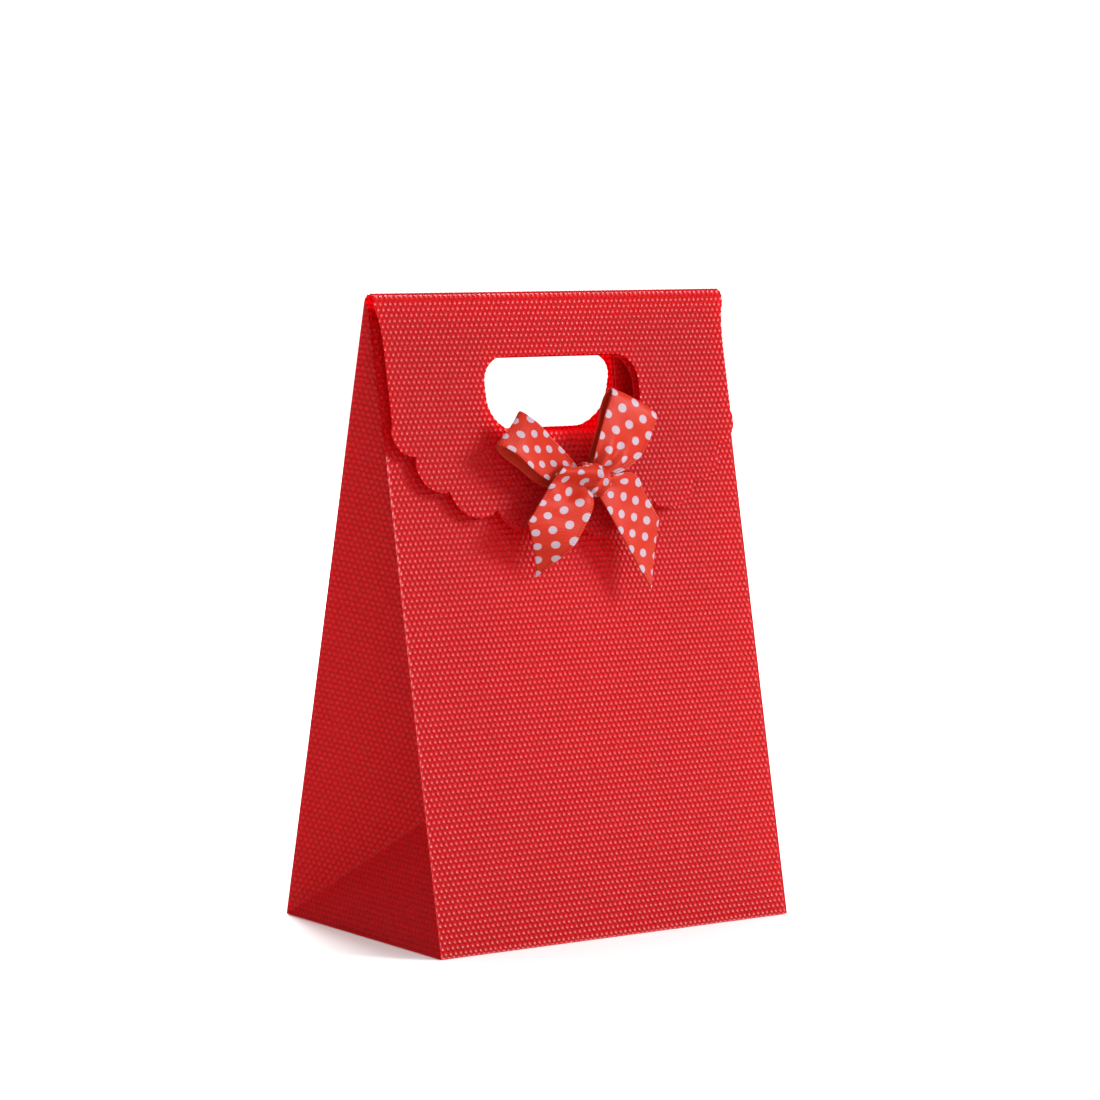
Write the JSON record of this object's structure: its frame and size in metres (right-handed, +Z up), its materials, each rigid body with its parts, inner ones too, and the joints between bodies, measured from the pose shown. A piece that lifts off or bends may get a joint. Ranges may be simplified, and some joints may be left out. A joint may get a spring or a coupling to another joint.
{
  "type": "gift bag",
  "caption": "Small gift bag of embossed plastic sheet with leaning panels, folded side gussets, a die-cut hand hole, a scalloped closing flap and a dotted ribbon bow.",
  "frame": {"origin": "centre of the base, on the surface the bag stands on", "axes": "+Z up, -Y towards the front panel and its flap, +X to the right seen from the front"},
  "size_m": [0.125, 0.0796, 0.184],
  "materials": {
    "sheet": "embossed satin polypropylene, slightly translucent",
    "ribbon": "satin ribbon with pale dots",
    "hook": "clear moulded hooks",
    "loop": "brushed loops",
    "glue": "set hot-melt glue"
  },
  "bodies": {
    "base": {"bottom_front_flap": "sheet", "bottom_back_flap": "sheet", "bottom_left_flap": "sheet", "bottom_right_flap": "sheet"},
    "front_panel": {"front_panel": "sheet", "loop_disc": "loop"},
    "back_panel": {"back_panel": "sheet", "glue_tab": "sheet"},
    "flap": {"flap": "sheet", "ridge_fold": "sheet", "hook_disc": "hook", "bow_loop_left": "ribbon", "bow_loop_right": "ribbon", "bow_tail_left": "ribbon", "bow_tail_right": "ribbon", "bow_knot": "ribbon", "bow_glue_dot": "glue"},
    "gusset_left_front_outer": {"gusset_left_front_outer": "sheet"},
    "gusset_left_front_inner": {"gusset_left_front_inner": "sheet"},
    "gusset_left_back_outer": {"gusset_left_back_outer": "sheet"},
    "gusset_left_back_inner": {"gusset_left_back_inner": "sheet"},
    "gusset_left_bottom": {"gusset_left_bottom": "sheet"},
    "gusset_right_front_outer": {"gusset_right_front_outer": "sheet"},
    "gusset_right_front_inner": {"gusset_right_front_inner": "sheet"},
    "gusset_right_back_outer": {"gusset_right_back_outer": "sheet"},
    "gusset_right_back_inner": {"gusset_right_back_inner": "sheet"},
    "gusset_right_bottom": {"gusset_right_bottom": "sheet"}
  },
  "joints": [
    {"name": "flap_hinge", "type": "hinge", "parent": "back_panel", "child": "flap", "pos_m": [0, 0.00108, 0.18186], "axis": [-1, 0, 0], "range_deg": [0, 170]},
    {"name": "front_panel_lean", "type": "hinge", "parent": "base", "child": "front_panel", "pos_m": [0, -0.04, 0], "axis": [1, 0, 0], "range_deg": [0, 5]},
    {"name": "back_panel_lean", "type": "hinge", "parent": "base", "child": "back_panel", "pos_m": [0, 0.04, 0], "axis": [-1, 0, 0], "range_deg": [0, 5]},
    {"name": "gusset_left_front_edge_fold", "type": "hinge", "parent": "front_panel", "child": "gusset_left_front_outer", "pos_m": [-0.0625, -0.04, 0], "axis": [0, 0.2093, 0.9779], "range_deg": [0, 7.84]},
    {"name": "gusset_left_front_inner_fold", "type": "hinge", "parent": "gusset_left_front_outer", "child": "gusset_left_front_inner", "pos_m": [-0.03897, 0, 0.03234], "axis": [-0.1505, 0, 0.9886], "range_deg": [0, 16.29]},
    {"name": "gusset_left_back_edge_fold", "type": "hinge", "parent": "back_panel", "child": "gusset_left_back_outer", "pos_m": [-0.0625, 0.04, 0], "axis": [0, 0.2093, -0.9779], "range_deg": [0, 7.84]},
    {"name": "gusset_left_back_inner_fold", "type": "hinge", "parent": "gusset_left_back_outer", "child": "gusset_left_back_inner", "pos_m": [-0.03897, 0, 0.03234], "axis": [0.1505, 0, -0.9886], "range_deg": [0, 16.29]},
    {"name": "gusset_left_bottom_fold", "type": "hinge", "parent": "base", "child": "gusset_left_bottom", "pos_m": [-0.0625, 0, 0], "axis": [0, -1, 0], "range_deg": [0, 7.84]},
    {"name": "gusset_right_front_edge_fold", "type": "hinge", "parent": "front_panel", "child": "gusset_right_front_outer", "pos_m": [0.0625, -0.04, 0], "axis": [0, -0.2093, -0.9779], "range_deg": [0, 7.84]},
    {"name": "gusset_right_front_inner_fold", "type": "hinge", "parent": "gusset_right_front_outer", "child": "gusset_right_front_inner", "pos_m": [0.03897, 0, 0.03234], "axis": [-0.1505, 0, -0.9886], "range_deg": [0, 16.29]},
    {"name": "gusset_right_back_edge_fold", "type": "hinge", "parent": "back_panel", "child": "gusset_right_back_outer", "pos_m": [0.0625, 0.04, 0], "axis": [0, -0.2093, 0.9779], "range_deg": [0, 7.84]},
    {"name": "gusset_right_back_inner_fold", "type": "hinge", "parent": "gusset_right_back_outer", "child": "gusset_right_back_inner", "pos_m": [0.03897, 0, 0.03234], "axis": [0.1505, 0, 0.9886], "range_deg": [0, 16.29]},
    {"name": "gusset_right_bottom_fold", "type": "hinge", "parent": "base", "child": "gusset_right_bottom", "pos_m": [0.0625, 0, 0], "axis": [0, 1, 0], "range_deg": [0, 7.84]}
  ],
  "couplings": [
    {"joint": "front_panel_lean", "follows": "flap_hinge", "ratio": 0.029412},
    {"joint": "back_panel_lean", "follows": "flap_hinge", "ratio": 0.029412},
    {"joint": "gusset_left_front_edge_fold", "follows": "flap_hinge", "ratio": 0.046088},
    {"joint": "gusset_left_front_inner_fold", "follows": "flap_hinge", "ratio": 0.095794},
    {"joint": "gusset_left_back_edge_fold", "follows": "flap_hinge", "ratio": 0.046088},
    {"joint": "gusset_left_back_inner_fold", "follows": "flap_hinge", "ratio": 0.095794},
    {"joint": "gusset_left_bottom_fold", "follows": "flap_hinge", "ratio": 0.046088},
    {"joint": "gusset_right_front_edge_fold", "follows": "flap_hinge", "ratio": 0.046088},
    {"joint": "gusset_right_front_inner_fold", "follows": "flap_hinge", "ratio": 0.095794},
    {"joint": "gusset_right_back_edge_fold", "follows": "flap_hinge", "ratio": 0.046088},
    {"joint": "gusset_right_back_inner_fold", "follows": "flap_hinge", "ratio": 0.095794},
    {"joint": "gusset_right_bottom_fold", "follows": "flap_hinge", "ratio": 0.046088}
  ]
}
